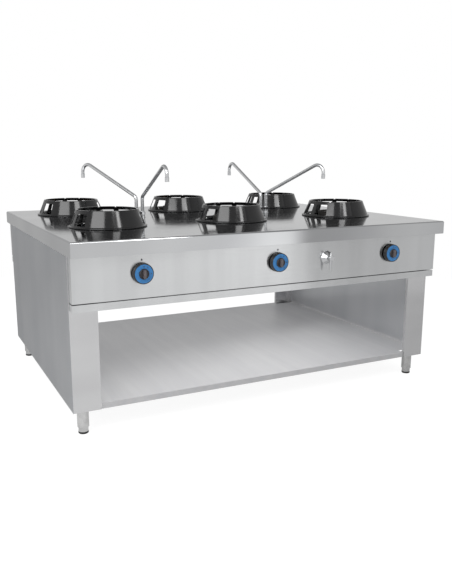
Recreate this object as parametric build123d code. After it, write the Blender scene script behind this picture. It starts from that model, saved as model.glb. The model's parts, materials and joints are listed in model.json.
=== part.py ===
from build123d import *
import os
from math import atan2, cos, degrees, radians, sin, sqrt

os.makedirs("parts", exist_ok=True)

# Free-standing wok range, worked from both long sides. Sizes are in millimetres.
# X runs along the range, -Y is the front, +Z is up, and the origin is on the floor
# under the middle of the worktop.

# ---- worktop ----
top_length = 1920.0
top_depth = 1560.0
top_height = 850.0
top_drop = 64.0
top_sheet = 2.0
top_edge_radius = 8.0
top_lip = 12.0

# ---- carcass, folded from thinner sheet ----
sheet = 1.5
end_overhang = 5.0
panel_setback = 48.0
panel_height = 254.0
panel_end_inset = 4.0
panel_gap = 5.0
rail_setback = 50.0
rail_height = 31.0
post_setback = 100.0
post_width = 120.0
post_flange = 40.0
post_return = 15.0
post_sheet = 2.0
base_height = 113.0
frame_tube = 40.0
frame_wall = 2.0
shelf_rise = 26.0
shelf_setback = 5.0
shelf_upstand = 12.0
shelf_gap = 2.5
shelf_lip_return = 15.0
bottom_flange = 25.0
stiffener_y = 220.0
stiffener_width = 60.0
stiffener_end_gap = 28.5

# ---- feet ----
foot_inset_x = 52.0
foot_inset_y = 53.0
foot_tube_r = 25.5
foot_tube_wall = 2.0
foot_tube_length = 83.0
foot_play = 2.0
foot_engaged = 30.0
foot_pad_height = 10.0
foot_stem_r = 5.0
foot_nut = 8.0
foot_nut_drop = 20.0
gusset = 3.0
gusset_size = 80.0

# ---- where the burners and what stands between them go ----
end_column_inset = 305.0
front_row_inset = 518.0
back_row_inset = 337.0
# Measured from halfway between the middle column and an outer one, or between the rows.
spout_pair_shift = 52.5
cross_member_shift = -17.5
valve_shift = -57.5
spout_line_shift = -19.5

# ---- burners ----
well_r = 150.0
well_flange = 14.0
well_depth = 85.0
well_cone = 35.0
well_floor_r = 60.0
burner_r = 95.0
burner_rise = 22.0
burner_neck_r = 26.0
burner_wall = 7.0
burner_foot = 24.0
burner_rim = 13.0
ridge_width = 18.0
groove_depth = 11.0
boss_reach = 8.0
mixer_r = 17.0
mixer_bore_r = 12.0
mixer_bell = 7.0
bell_length = 40.0
mixer_throat = 50.0
air_plate = 3.0
injector_r = 7.0
injector_length = 35.0
pilot_gap = 17.0
pilot_offset = 36.0
pilot_r = 8.0
fit_gap = 0.3

# ---- wok rings ----
ring_clearance = 2.0
ring_foot = 20.0
ring_lip = 9.5
ring_taper = 40.0
ring_height = 82.0
ring_wall = 4.0
ring_rim = 9.0
ring_bead = 6.0
windows_per_side = 4
window_pitch = 33.0
window_width = 24.0
window_bottom = 11.0
window_top = 72.0
notch_width = 8.0

# ---- gas controls ----
knob_drop = 150.0
knob_r = 45.0
knob_gap = 5.0
knob_depth = 28.0
knob_travel = 4.0
knob_wall = 4.0
skirt_draft = 2.5
inlay_depth = 2.0
inlay_margin = 6.5
grip_r = 23.0
grip_height = 5.0
bar_height = 6.0
bar_width = 12.0
spindle_r = 5.0
spindle_reach = 36.0
running_fit = 0.05
tap_half_width = 18.0
tap_depth = 46.5
tap_above = 24.0
tap_below = 22.0
tap_stem_drop = 32.0
tap_stem_r = 9.0
spindle_depth = 26.0
pilot_port_drop = 14.0
pilot_pipe_bend = 8.0
tap_port = 8.0
tap_port_rise = 14.0
screw_r = 2.5
screw_spacing = 28.0

# ---- gas pipes ----
manifold_inset = 25.0
manifold_drop = 60.0
manifold_r = 13.45
manifold_wall = 2.55
manifold_bend = 30.0
stub_r = 8.0
main_pipe_length = 51.0
main_pipe_r = 6.0
pilot_pipe_r = 3.0
pipe_wall = 1.0
gas_inlet_inset = 195.0
gas_inlet_setback = 67.0
gas_inlet_drop = 65.0
gas_socket_r = 12.1
gas_socket_depth = 16.0
gas_socket_length = 30.0

# ---- water ----
valve_drop = 147.0
valve_half_width = 26.0
valve_depth = 48.5
valve_spindle_r = 6.0
valve_nose_r = 12.0
valve_port = 6.0
outlet_offset = 12.0
rosette_r = 33.0
rosette_depth = 24.0
lever_length = 62.0
lever_hub_r = 13.0
lever_hub_length = 19.0
water_pipe_r = 7.0
water_pipe_wall = 1.2
water_bend = 14.0
crossing_gap = 33.0
crossing_step = 20.0
supply_drop = 103.0
supply_setback = 92.0
tee_half = 18.0
water_socket_r = 9.3
water_socket_depth = 14.0
water_socket_length = 34.0

# ---- spouts ----
spout_half_gap = 17.0
spout_r = 9.0
spout_wall = 1.8
spout_low_bend = 26.0
spout_high_bend = 40.0
spout_bend_rise = 110.0
spout_reach = 380.0
spout_peak_rise = 300.0
spout_end_drop = 97.0
spout_socket_rise = 8.0
spout_nut_rise = 30.0
shank_drop = 35.0
# Which way each spout stands, in degrees from +X.
spout_angles = {"left_back": 121.0, "left_front": -91.0, "right_back": 92.0, "right_front": -65.0}

# ---- faces that follow from the sizes above ----
top_underside = top_height - top_sheet
top_bottom = top_height - top_drop
panel_face = -top_depth / 2 + panel_setback
panel_back = panel_face + sheet
panel_bottom = top_underside - panel_height
rail_face = -top_depth / 2 + rail_setback
rail_top = panel_bottom - panel_gap
rail_bottom = rail_top - rail_height
post_face = -top_depth / 2 + post_setback
post_back = post_face + post_sheet
side_outer = top_length / 2 - end_overhang
side_inner = side_outer - sheet
# The sides and posts stop short of the rounded inner corner of the worktop.
side_top = top_underside - top_sheet
panel_end = side_outer - panel_end_inset
frame_bottom = top_underside - frame_tube
frame_end = side_inner - post_sheet
shelf_top = base_height + shelf_rise
shelf_under = shelf_top - sheet
gusset_back = post_face + gusset_size

column_pitch = top_length / 2 - end_column_inset
columns = {"left": -column_pitch, "middle": 0.0, "right": column_pitch}
rows = {"front": -top_depth / 2 + front_row_inset, "back": top_depth / 2 - back_row_inset}
places = [(side, hand) for side in rows for hand in columns]
between_columns = column_pitch / 2
cross_member_x = between_columns + cross_member_shift
valve_x = between_columns + valve_shift
spout_pair_x = between_columns + spout_pair_shift
spout_y = (rows["front"] + rows["back"]) / 2 + spout_line_shift

well_floor = top_height - well_depth
cone_top = well_floor + well_cone
well_flange_r = well_r + well_flange
ring_base_r = well_flange_r + ring_clearance + ring_foot
ring_top_r = ring_base_r - ring_taper
burner_top = top_height + burner_rise
pilot_radius = burner_r + pilot_gap
pilot_back = sqrt(pilot_radius**2 - pilot_offset**2)

knob_height = top_height - knob_drop
mixer_height = knob_height + tap_port_rise
tap_back = panel_back + tap_depth
tap_foot = knob_height - tap_stem_drop
tap_nose_r = spindle_r + 4
injector_back = tap_back + tap_port + main_pipe_length
mixer_mouth = injector_back + injector_length
manifold_y = panel_face + manifold_inset
manifold_height = knob_height - manifold_drop
valve_height = top_height - valve_drop
valve_back = panel_back + valve_depth

# In each pair the spout on the left serves the back, and the one on the right the front.
spout_bases = {
    "left_back": -spout_pair_x - spout_half_gap,
    "left_front": -spout_pair_x + spout_half_gap,
    "right_back": spout_pair_x - spout_half_gap,
    "right_front": spout_pair_x + spout_half_gap,
}
shank_bottom = top_height - shank_drop
shank_r = spout_r + 1.5


def block(x0, x1, y0, y1, z0, z1):
    """A box between two corners."""
    size = Box(abs(x1 - x0), abs(y1 - y0), abs(z1 - z0))
    return Pos((x0 + x1) / 2, (y0 + y1) / 2, (z0 + z1) / 2) * size


def upright(r, x, y, z0, z1):
    """A vertical cylinder."""
    return Pos(x, y, (z0 + z1) / 2) * Cylinder(r, z1 - z0)


def level(r, x, z, y0, y1):
    """A cylinder along Y."""
    return Pos(x, (y0 + y1) / 2, z) * Rot(90, 0, 0) * Cylinder(r, abs(y1 - y0))


def turned(points):
    """A solid of revolution about Z from (radius, height) points."""
    outline = make_face(Polyline(*points, close=True))
    return revolve(Plane.XZ * outline, Axis.Z)


def turned_out(points, x, z, y=0.0):
    """The same, with its axis pointing forward (-Y) from the plane y."""
    return Pos(x, y, z) * Rot(90, 0, 0) * turned(points)


def hexagon(across_flats, x, y, z0, z1):
    """A vertical hexagonal prism."""
    outline = RegularPolygon(across_flats / 2, 6, major_radius=False)
    return Pos(x, y, z0) * extrude(outline, z1 - z0)


def bent_tube(points, bend_r, r_out, r_in):
    """A tube that follows straight runs joined by bends."""
    path = FilletPolyline(*points, radius=bend_r) if len(points) > 2 else Line(*points)
    section = Circle(r_out) - Circle(r_in)
    plane = Plane(path @ 0, z_dir=path % 0)
    return sweep(plane * section, path=path)


def for_side(side, make, x):
    """The front's piece at x, or the same piece turned round for the back."""
    return make(x) if side == "front" else Rot(0, 0, 180) * make(-x)


def each_tap(make):
    """The piece that every tap has, at all six places."""
    return [for_side(side, make, columns[hand]) for side, hand in places]


def each_burner(make):
    """The piece that every burner has, at all six places; it also takes the row's place."""
    found = []
    for side, hand in places:
        row = rows[side] if side == "front" else -rows[side]
        found.append(for_side(side, lambda x, y=row: make(x, y), columns[hand]))
    return found


def mirrored_corners(shape):
    """A corner piece, at all four corners."""
    left = [shape, mirror(shape, Plane.XZ)]
    return left + [mirror(piece, Plane.YZ) for piece in left]


def save(name, *shapes):
    shape = shapes[0] if len(shapes) == 1 else Compound(children=list(shapes))
    export_step(shape, "parts/" + name + ".step")


# ---- worktop: one folded sheet with a deep drop on all four sides ----
def top_box(inset, radius, z_top):
    x = top_length / 2 - inset
    y = top_depth / 2 - inset
    solid = block(-x, x, -y, y, top_bottom, z_top)
    return fillet(solid.edges().group_by(Axis.Z)[-1], radius)


worktop = top_box(0, top_edge_radius, top_height)
worktop -= top_box(top_sheet, top_edge_radius - top_sheet, top_underside)
lip_x = top_length / 2 - top_sheet
lip_y = top_depth / 2 - top_sheet
for sign in (-1, 1):
    worktop += block(
        -lip_x, lip_x, sign * lip_y, sign * (lip_y - top_lip), top_bottom, top_bottom + top_sheet
    )
for row in rows.values():
    for x in columns.values():
        worktop -= upright(well_r + fit_gap, x, row, top_underside - 1, top_height + 1)
for x in spout_bases.values():
    worktop -= upright(shank_r + 0.5, x, spout_y, top_underside - 1, top_height + 1)
save("worktop", worktop)


# ---- welded tube frame under the worktop ----
def frame_members(inset):
    """The outside of each tube, or with an inset its bore."""
    half = frame_tube / 2 - inset
    z = (frame_bottom + inset, top_underside - inset)
    rail_y = -post_back - frame_tube / 2
    members = []
    for sign in (-1, 1):
        y = sign * rail_y
        members.append(block(-frame_end + inset, frame_end - inset, y - half, y + half, *z))
        for along in (frame_end - frame_tube / 2, cross_member_x):
            x = sign * along
            members.append(block(x - half, x + half, -rail_y, rail_y, *z))
    return members


tubes = frame_members(0)
bores = frame_members(frame_wall)
save("top_frame", (tubes[0] + tubes[1:]) - bores)


# ---- control panels: folded sheets that stand in front of the posts ----
def control_panel():
    panel = block(-panel_end, panel_end, panel_face, post_face, panel_bottom, top_underside)
    panel -= block(
        -panel_end + sheet, panel_end - sheet,
        panel_back, post_face + 1, panel_bottom + sheet, top_underside - sheet,
    )
    holes = [(valve_x, valve_height, valve_nose_r + 0.4)]
    for x in columns.values():
        holes.append((x, knob_height, tap_nose_r + 0.4))
        for dx in (-screw_spacing / 2, screw_spacing / 2):
            holes.append((x + dx, knob_height, screw_r + 0.2))
    for x, z, r in holes:
        panel -= level(r, x, z, panel_face - 1, panel_back + 1)
    return panel


save("control_panel_front", control_panel())
save("control_panel_back", Rot(0, 0, 180) * control_panel())

# ---- rails that close the front and back under the panels ----
rail = block(-panel_end, panel_end, rail_face, post_face, rail_bottom, rail_top)
rail -= block(
    -panel_end + sheet, panel_end - sheet,
    rail_face + sheet, post_face + 1, rail_bottom + sheet, rail_top - sheet,
)
save("panel_rails", rail, Rot(0, 0, 180) * rail)

# ---- side panels, with a flange turned in along the bottom ----
side_panel = block(side_inner, side_outer, post_face, -post_face, base_height, side_top)
side_panel += block(
    side_inner - bottom_flange, side_inner,
    gusset_back + 2, -gusset_back - 2, base_height, base_height + sheet,
)
save("side_panel_right", side_panel)
save("side_panel_left", Rot(0, 0, 180) * side_panel)

# ---- corner posts: folded from sheet, open to the inside ----
post_inner = -side_inner + post_width
post = block(-side_inner, post_inner, post_face, post_back, base_height, side_top)
post += block(-side_inner, -frame_end, post_face, post_face + post_flange, base_height, side_top)
post += block(
    post_inner - post_sheet, post_inner,
    post_face, post_face + post_return, base_height, frame_bottom,
)
save("corner_posts", *mirrored_corners(post))

# ---- bottom shelf, with lips along the front and back and upstands at its ends ----
lip_face = post_face + shelf_setback
lip_end = side_inner - post_width - shelf_gap
wing_y = post_face + post_flange + 4
shelf = block(-side_inner, side_inner, wing_y, -wing_y, shelf_under, shelf_top)
shelf += block(-lip_end, lip_end, lip_face, -lip_face, shelf_under, shelf_top)
for sign in (-1, 1):
    lip = sign * lip_face
    lip_inside = sign * (lip_face + sheet)
    lip_return = sign * (lip_face + shelf_lip_return)
    shelf += block(-lip_end, lip_end, lip, lip_inside, base_height, shelf_top)
    shelf += block(-lip_end, lip_end, lip, lip_return, base_height, base_height + sheet)
    shelf += block(
        sign * (side_inner - sheet), sign * side_inner,
        wing_y, -wing_y, shelf_under, shelf_top + shelf_upstand,
    )
stiffener_end = side_inner - bottom_flange - stiffener_end_gap
stiffeners = []
for y in (-stiffener_y, stiffener_y):
    half = stiffener_width / 2
    channel = block(-stiffener_end, stiffener_end, y - half, y + half, base_height, shelf_under)
    channel -= block(
        -stiffener_end - 1, stiffener_end + 1,
        y - half + sheet, y + half - sheet, base_height - 1, shelf_under - sheet,
    )
    stiffeners.append(channel)
save("bottom_shelf", shelf, *stiffeners)

# ---- feet: a tube welded to a gusset in each post, and an insert that screws up into it ----
foot_x = side_outer - foot_inset_x
foot_y = -post_face - foot_inset_y
foot_tube_bottom = base_height - foot_tube_length
foot_bore = foot_tube_r - foot_tube_wall
foot_insert_r = foot_bore - foot_play
foot_pad_r = foot_insert_r + 0.5
nut_top = base_height - foot_nut_drop
nut_bottom = nut_top - foot_nut
insert_top = foot_tube_bottom + foot_engaged
stem_top = nut_top + 11
socket = block(
    -frame_end, post_inner - post_sheet, post_back, gusset_back, base_height, base_height + gusset
)
socket += upright(foot_tube_r, -foot_x, -foot_y, foot_tube_bottom, base_height)
socket -= upright(foot_bore, -foot_x, -foot_y, foot_tube_bottom - 1, nut_bottom)
socket -= upright(foot_bore, -foot_x, -foot_y, nut_top, base_height)
socket -= upright(foot_stem_r + running_fit, -foot_x, -foot_y, nut_bottom - 1, nut_top + 1)
save("foot_sockets", *mirrored_corners(socket))

foot_insert = turned([
    (0, foot_pad_height), (foot_insert_r, foot_pad_height), (foot_insert_r, insert_top - 2),
    (foot_insert_r - 2, insert_top), (foot_stem_r, insert_top), (foot_stem_r, stem_top),
    (0, stem_top),
])
foot_pad = turned([
    (0, 0), (foot_pad_r - 2, 0), (foot_pad_r, 2), (foot_pad_r, foot_pad_height - 1),
    (foot_pad_r - 1, foot_pad_height), (0, foot_pad_height),
])
for side, y in (("front", -foot_y), ("back", foot_y)):
    for hand, x in (("left", -foot_x), ("right", foot_x)):
        save("foot_insert_" + side + "_" + hand, Pos(x, y, 0) * foot_insert)
        save("foot_pad_" + side + "_" + hand, Pos(x, y, 0) * foot_pad)

# ---- burner wells: drawn bowls that hang in the worktop by their flanges ----
well_neck_r = burner_neck_r + 2


def burner_well(x, row):
    flange_top = top_height + top_sheet
    well = Pos(x, row, 0) * turned([
        (well_flange_r, top_height), (well_flange_r, flange_top),
        (well_r - top_sheet, flange_top), (well_r - top_sheet, cone_top),
        (well_floor_r, well_floor), (well_neck_r, well_floor),
        (well_neck_r, well_floor - top_sheet), (well_floor_r + 0.5, well_floor - top_sheet),
        (well_r, cone_top - 1.3), (well_r, top_height),
    ])
    pipe_hole_r = pilot_pipe_r + 1.5
    return well - upright(pipe_hole_r, x - pilot_offset, row - pilot_back, well_floor, cone_top)


save("burner_wells", *each_burner(burner_well))

# ---- burner heads: a hollow casting with ridges for the gas ports, on the well floor ----
lug_bottom = cone_top
lug_top = lug_bottom + 8
boss_face = burner_neck_r + boss_reach
boss_half = mixer_r + 3


def burner_head(x, row):
    neck_bottom = mixer_height - burner_neck_r
    foot_r = burner_neck_r + burner_foot
    foot_top = well_floor + burner_wall
    outer_ridge = burner_r - burner_rim
    middle_ridge = outer_ridge - ridge_width
    inner_ridge = middle_ridge - ridge_width
    groove = burner_top - groove_depth
    middle_top = groove + burner_wall
    head = turned([
        (0, neck_bottom), (burner_neck_r, neck_bottom), (burner_neck_r, well_floor),
        (foot_r, well_floor), (foot_r, foot_top), (foot_r - 4, foot_top),
        (burner_r, well_floor + 40), (burner_r, burner_top), (outer_ridge, burner_top),
        (outer_ridge, groove), (middle_ridge, groove), (middle_ridge, middle_top),
        (inner_ridge, middle_top), (inner_ridge, groove - 1), (inner_ridge - ridge_width, groove - 1),
        (burner_neck_r - 4, burner_top + 1), (0, burner_top + 4),
    ])
    neck_bore = burner_neck_r - burner_wall
    chamber_r = burner_r - burner_wall - 2
    chamber_top = groove - burner_wall - 1
    head -= turned([
        (0, neck_bottom + burner_wall), (neck_bore, neck_bottom + burner_wall),
        (neck_bore, foot_top + 3), (foot_r - 12, foot_top + 7), (chamber_r, well_floor + 46),
        (chamber_r, chamber_top), (0, chamber_top),
    ])
    head += block(
        -boss_half, boss_half, -boss_face, 8 - burner_neck_r,
        mixer_height - boss_half, mixer_height + boss_half,
    )
    head -= level(mixer_r - 3, 0, mixer_height, -boss_face - 1, 0)
    lug = block(burner_r - 7, pilot_radius + pilot_r + 3, -9, 9, lug_bottom, lug_top)
    lug -= upright(burner_r - 4, 0, 0, lug_bottom - 1, lug_top + 1)
    head += Rot(0, 0, degrees(atan2(-pilot_back, -pilot_offset))) * lug
    return Pos(x, row, 0) * head


save("burner_heads", *each_burner(burner_head))


# ---- pilot burners, each with its flame hood and thermocouple tip ----
def pilot_burner(x, row):
    px = x - pilot_offset
    py = row - pilot_back
    hood_top = top_height + 8
    hood_bottom = hood_top - 12
    tip_x = px - pilot_r - 9
    body = upright(pilot_r - 2, px, py, lug_top, hood_bottom)
    body += upright(pilot_r, px, py, hood_bottom, hood_top)
    body -= upright(pilot_r - 1.5, px, py, hood_bottom + 4, hood_top + 1)
    body += block(tip_x, px, py - 3, py + 3, lug_top + 4, lug_top + 10)
    return body + upright(2.5, tip_x, py, lug_top - 2, hood_top - 2)


save("pilot_burners", *each_burner(pilot_burner))


# ---- mixer tubes from each burner to its injector, with an air plate in the mouth ----
def mixer_tube(x, row):
    start = row - boss_face
    length = start - mixer_mouth
    bell_r = mixer_r + mixer_bell
    rim = length - bell_length / 3
    tube = turned_out([
        (mixer_r - 3, 0), (mixer_r + 5, 0), (mixer_r + 5, 6), (mixer_r, 6),
        (mixer_r, length - bell_length), (bell_r, rim), (bell_r, length),
        (4.5, length), (4.5, length - air_plate), (bell_r - 3, length - air_plate),
        (bell_r - 3, rim), (mixer_bore_r, length - bell_length - 2),
        (mixer_bore_r, mixer_throat), (mixer_r - 3, 6),
    ], x, mixer_height, start)
    air_radius = (bell_r + 2) / 2
    for turn in (45, 135, 225, 315):
        dx = air_radius * cos(radians(turn))
        dz = air_radius * sin(radians(turn))
        tube -= level(5, x + dx, mixer_height + dz, mixer_mouth - 1, mixer_mouth + air_plate + 1)
    return tube


save("mixer_tubes", *each_burner(mixer_tube))


# ---- injectors, screwed against the air plates ----
def injector(x, row):
    jet = turned_out([
        (0, 0), (injector_r + 2, 0), (injector_r + 2, 10), (injector_r, 10),
        (injector_r, injector_length), (0, injector_length),
    ], x, mixer_height, mixer_mouth)
    jet += level(4, x, mixer_height, mixer_mouth, mixer_mouth + 12)
    jet -= level(1.2, x, mixer_height, mixer_mouth + 13, mixer_mouth - 4)
    return jet - level(4, x, mixer_height, mixer_mouth - 4, injector_back - 1)


save("injectors", *each_burner(injector))

# ---- gas taps behind the panels ----
pilot_port_x = 4 - tap_half_width
pilot_port_z = knob_height - pilot_port_drop
tap_bore_end = panel_back + spindle_depth


def gas_tap(x):
    tap = block(
        x - tap_half_width, x + tap_half_width, panel_back, tap_back,
        knob_height - tap_below, knob_height + tap_above,
    )
    tap += level(tap_nose_r, x, knob_height, panel_face - 1, panel_back)
    tap += upright(tap_stem_r, x, manifold_y, tap_foot, knob_height - tap_below)
    tap += level(tap_stem_r, x, mixer_height, tap_back, tap_back + tap_port)
    tap += level(4, x + pilot_port_x, pilot_port_z, tap_back, tap_back + 4)
    tap -= level(spindle_r + running_fit, x, knob_height, panel_face - 2, tap_bore_end)
    for dx in (-screw_spacing / 2, screw_spacing / 2):
        tap -= level(screw_r, x + dx, knob_height, panel_back - 1, panel_back + 12)
    return tap


save("gas_taps", *each_tap(gas_tap))


# ---- gas pipes: a manifold of straight runs and elbows, and two pipes to each burner ----
def gas_main(x, row):
    ends = [(x, tap_back + tap_port, mixer_height), (x, injector_back, mixer_height)]
    return bent_tube(ends, 0, main_pipe_r, main_pipe_r - pipe_wall)


def gas_to_pilot(x, row):
    start_x = x + pilot_port_x
    px = x - pilot_offset
    py = row - pilot_back
    cross_y = tap_back + 29
    return bent_tube([
        (start_x, tap_back + 4, pilot_port_z), (start_x, cross_y, pilot_port_z),
        (px, cross_y, pilot_port_z), (px, py, pilot_port_z), (px, py, lug_bottom),
    ], pilot_pipe_bend, pilot_pipe_r, pilot_pipe_r - pipe_wall)


def manifold_piece(*points):
    return bent_tube(points, manifold_bend, manifold_r, manifold_r - manifold_wall)


def with_stubs(run, y):
    """A straight run with a short stub up to each tap."""
    for x in columns.values():
        run += upright(stub_r, x, y, manifold_height + 11, tap_foot)
        run -= upright(stub_r - 2, x, y, manifold_height, tap_foot + 1)
    return run


corner_x = side_outer - gas_inlet_inset
elbow = manifold_bend + 2
run_x = corner_x - elbow
run_end = column_pitch + 45
back_y = -manifold_y
inlet_y = back_y - gas_inlet_setback
inlet_top = manifold_height - elbow
pipe_end = manifold_height - gas_inlet_drop
at = manifold_height
front_run = manifold_piece((-run_x, manifold_y, at), (run_end, manifold_y, at))
front_run += Pos(run_end - 2, manifold_y, at) * Rot(0, 90, 0) * Cylinder(manifold_r, 4)
back_run = manifold_piece((-run_x, back_y, at), (run_x, back_y, at))
gas_manifold = [
    with_stubs(front_run, manifold_y),
    with_stubs(back_run, back_y),
    manifold_piece((-corner_x, manifold_y + elbow, at), (-corner_x, back_y - elbow, at)),
    manifold_piece(
        (-run_x, manifold_y, at), (-corner_x, manifold_y, at), (-corner_x, manifold_y + elbow, at)
    ),
    manifold_piece((-run_x, back_y, at), (-corner_x, back_y, at), (-corner_x, back_y - elbow, at)),
    manifold_piece(
        (run_x, back_y, at), (corner_x, back_y, at), (corner_x, inlet_y, at),
        (corner_x, inlet_y, inlet_top),
    ),
    manifold_piece((corner_x, inlet_y, inlet_top), (corner_x, inlet_y, pipe_end)),
]
socket_bottom = pipe_end - gas_socket_length
socket_step = socket_bottom + gas_socket_depth
gas_socket = upright(gas_socket_r + 4.9, corner_x, inlet_y, socket_bottom, pipe_end)
gas_socket -= upright(manifold_r - manifold_wall, corner_x, inlet_y, socket_bottom, pipe_end + 1)
gas_socket -= upright(gas_socket_r, corner_x, inlet_y, socket_bottom - 1, socket_step)
save(
    "gas_pipes", *gas_manifold, gas_socket, *each_burner(gas_main), *each_burner(gas_to_pilot)
)

# ---- tap spindles, knobs and the coloured rings set into the knobs ----
# Reaches are distances out from the panel. Each knob has a D-shaped bore with a round
# mouth, deep enough that the round part of the spindle never meets the flat.
spindle_inner = tap_bore_end - 1
spindle_outer = panel_face - spindle_reach
flat_height = spindle_r - 1.5
mouth_depth = knob_gap + 8
flat_start = mouth_depth - knob_travel - 1


def tap_spindle(x):
    spindle = level(spindle_r, x, knob_height, spindle_inner, spindle_outer)
    return spindle - block(
        x - spindle_r - 1, x + spindle_r + 1, spindle_outer - 1, panel_face - flat_start,
        knob_height + flat_height, knob_height + spindle_r + 1,
    )


skirt_front = knob_gap + knob_depth
skirt_r = knob_r - skirt_draft
inlay_r = knob_r - inlay_margin
inlay_floor = skirt_front - inlay_depth
inlay_hole = grip_r + 2
grip_front = skirt_front + grip_height
bar_front = grip_front + bar_height
bore_end = spindle_reach + knob_travel + 1
hub_back = knob_gap + 3
hub_r = spindle_r + 4
cavity_front = skirt_front - 7


def knob(x):
    body = turned_out([
        (hub_r, hub_back), (hub_r, cavity_front), (knob_r - 2 * knob_wall, cavity_front),
        (knob_r - knob_wall, knob_gap), (knob_r, knob_gap), (knob_r, knob_gap + 4),
        (skirt_r, skirt_front), (inlay_r, skirt_front), (inlay_r, inlay_floor),
        (inlay_hole, inlay_floor), (inlay_hole, skirt_front + 1), (grip_r, skirt_front + 3),
        (grip_r - 2, grip_front), (0, grip_front), (0, hub_back),
    ], x, knob_height, panel_face)
    bar_half = grip_r - 3
    bar = block(
        x - bar_width / 2, x + bar_width / 2, panel_face - grip_front + 1, panel_face - bar_front,
        knob_height - bar_half, knob_height + bar_half,
    )
    bar = fillet(bar.edges().filter_by(Axis.Y), bar_width / 3)
    body += chamfer(bar.faces().sort_by(Axis.Y)[0].edges(), 1)
    bore_r = spindle_r + running_fit
    bore = level(bore_r, x, knob_height, panel_face, panel_face - bore_end)
    bore -= block(
        x - spindle_r - 1, x + spindle_r + 1, panel_face, panel_face - bore_end - 1,
        knob_height + flat_height + running_fit, knob_height + spindle_r + 2,
    )
    return body - bore - level(bore_r, x, knob_height, panel_face, panel_face - mouth_depth)


def knob_ring(x):
    outer = inlay_r - 0.1
    inner = inlay_hole + 0.1
    front = skirt_front + 0.7
    return turned_out([
        (inner, inlay_floor), (outer, inlay_floor), (outer, front - 0.5), (outer - 0.5, front),
        (inner + 0.5, front), (inner, front - 0.5),
    ], x, knob_height, panel_face)


for side, hand in places:
    place = side + "_" + hand
    save("tap_spindle_" + place, for_side(side, tap_spindle, columns[hand]))
    save("knob_" + place, for_side(side, knob, columns[hand]))
    save("knob_ring_" + place, for_side(side, knob_ring, columns[hand]))


# ---- screws that hold the taps to the panels, hidden under the knobs ----
def tap_screws(x):
    found = []
    for dx in (-screw_spacing / 2, screw_spacing / 2):
        screw = level(screw_r, x + dx, knob_height, panel_face, panel_back + 10)
        screw += level(screw_r + 2.1, x + dx, knob_height, panel_face - 2.4, panel_face)
        found.append(screw)
    return Compound(children=found)


save("tap_screws", *each_tap(tap_screws))

# ---- water valves, their rosettes and their levers ----
port_end = valve_back + valve_port
port_r = water_pipe_r + 2
outlet_height = valve_height + 11
inlet_height = valve_height - 13
valve_bore_end = panel_back + 30
valve_places = {"front": valve_x, "back": -valve_x}


def each_valve(make):
    return [for_side(side, make, x) for side, x in valve_places.items()]


def water_valve(x):
    body = block(
        x - valve_half_width, x + valve_half_width, panel_back, valve_back,
        valve_height - 27, valve_height + 25,
    )
    body += level(valve_nose_r, x, valve_height, panel_face - 10, panel_back)
    ports = ((-outlet_offset, outlet_height), (outlet_offset, outlet_height), (0, inlet_height))
    for dx, height in ports:
        body += level(port_r, x + dx, height, valve_back, port_end)
    return body - level(
        valve_spindle_r + running_fit, x, valve_height, panel_face - 11, valve_bore_end
    )


def valve_rosette(x):
    cone = loft([
        Plane((0, 0, 3)) * RegularPolygon(rosette_r, 8),
        Plane((0, 0, rosette_depth)) * RegularPolygon(valve_nose_r + 1, 8),
    ])
    shape = extrude(RegularPolygon(rosette_r, 8), 3) + cone
    shape -= upright(valve_nose_r + fit_gap, 0, 0, -1, 14)
    shape -= upright(valve_spindle_r + 1, 0, 0, -1, rosette_depth + 1)
    return Pos(x, panel_face, valve_height) * Rot(90, 0, 0) * shape


def valve_lever(x):
    hub_inner = panel_face - rosette_depth - 3
    hub_outer = hub_inner - lever_hub_length
    arm_y = (hub_inner + hub_outer) / 2
    spindle_end = hub_outer + 4
    spindle = level(valve_spindle_r, x, valve_height, valve_bore_end - 1, spindle_end)
    hub = level(lever_hub_r, x, valve_height, hub_inner, hub_outer)
    hub = chamfer(hub.edges().filter_by(GeomType.CIRCLE), 1.5)
    arm = Pos(x, arm_y, valve_height) * turned([
        (0, 0), (7, 0), (7, -lever_hub_r), (3, 2 - lever_length), (2, -lever_length),
        (0, -lever_length),
    ])
    stub = Pos(x, arm_y, valve_height) * turned([
        (0, 0), (6.5, 0), (6.5, lever_hub_r - 1), (2.5, 2 * lever_hub_r), (0, 2 * lever_hub_r),
    ])
    handle = hub + arm + stub
    handle -= level(valve_spindle_r, x, valve_height, hub_inner + 1, spindle_end)
    return Compound(children=[spindle, handle])


save("water_valves", *each_valve(water_valve))
save("valve_rosettes", *each_valve(valve_rosette))
for side, x in valve_places.items():
    save("valve_lever_" + side, for_side(side, valve_lever, x))


# ---- water pipes: one run to each spout, and the supply with its tee and inlet ----
def water_tube(*points):
    return bent_tube(points, water_bend, water_pipe_r, water_pipe_r - water_pipe_wall)


near = valve_x - outlet_offset
far = valve_x + outlet_offset
# Where each spout's pipe leaves its valve, and where it crosses over.
spout_runs = {
    "left_front": (near, port_end, spout_y - crossing_gap),
    "right_front": (far, port_end, spout_y - crossing_gap - crossing_step),
    "right_back": (-near, -port_end, spout_y + crossing_gap),
    "left_back": (-far, -port_end, spout_y + crossing_gap + crossing_step),
}
water = []
for name, (x, y, cross_y) in spout_runs.items():
    x_end = spout_bases[name]
    water.append(water_tube(
        (x, y, outlet_height), (x, cross_y, outlet_height), (x_end, cross_y, outlet_height),
        (x_end, spout_y, outlet_height), (x_end, spout_y, shank_bottom),
    ))
supply_height = valve_height - supply_drop
supply_y = -panel_face - supply_setback
water.append(water_tube(
    (valve_x, port_end, inlet_height), (valve_x, -supply_y, inlet_height),
    (valve_x, -supply_y, supply_height), (valve_x, supply_y - tee_half, supply_height),
))
water.append(water_tube(
    (-valve_x, -port_end, inlet_height), (-valve_x, supply_y, inlet_height),
    (-valve_x, supply_y, supply_height), (valve_x - tee_half, supply_y, supply_height),
))
tee_bottom = supply_height - tee_half
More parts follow.
